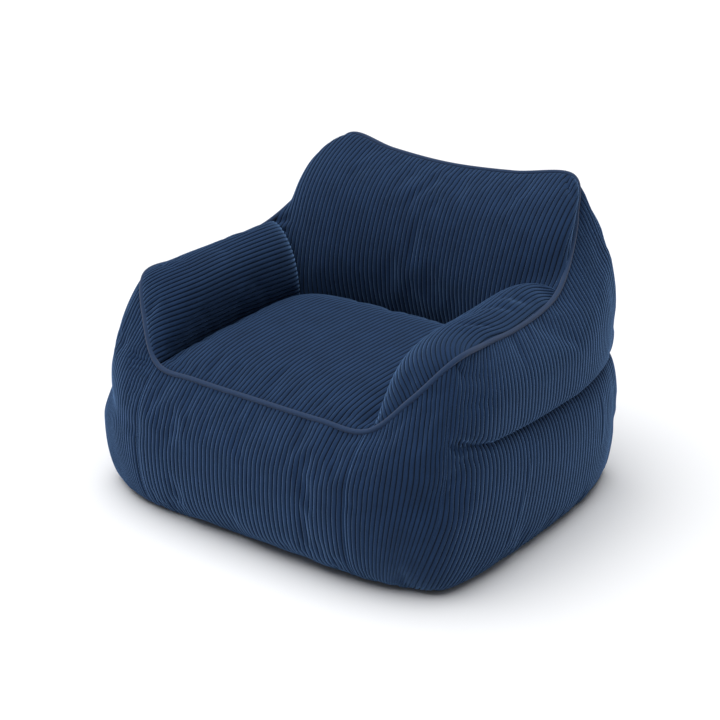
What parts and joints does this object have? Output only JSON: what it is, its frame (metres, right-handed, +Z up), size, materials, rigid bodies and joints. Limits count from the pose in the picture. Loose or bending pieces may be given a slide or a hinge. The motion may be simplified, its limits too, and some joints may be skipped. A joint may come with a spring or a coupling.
{
  "type": "pouf armchair",
  "caption": "Low soft-filled tub armchair of ribbed cloth panels, with a corded seam along its front lip, arms and back.",
  "frame": {"origin": "on the floor, under the middle of the chair's bounding box", "axes": "+Z up, +Y towards the back of the chair, +X towards the right arm as seen from the front"},
  "size_m": [0.8962, 0.8126, 0.6313],
  "materials": {
    "corduroy": "matt ribbed pile",
    "piping_cloth": "matt smooth cloth",
    "base_cloth": "matt cloth"
  },
  "bodies": {
    "root": {"seat_panel": "corduroy", "back_inner_panel": "corduroy", "arm_inner_right": "corduroy", "arm_inner_left": "corduroy", "front_panel": "corduroy", "front_corner_right": "corduroy", "front_corner_left": "corduroy", "side_panel_right": "corduroy", "side_panel_left": "corduroy", "back_outer_panel": "corduroy", "piping": "piping_cloth", "base_panel": "base_cloth"}
  },
  "joints": []
}
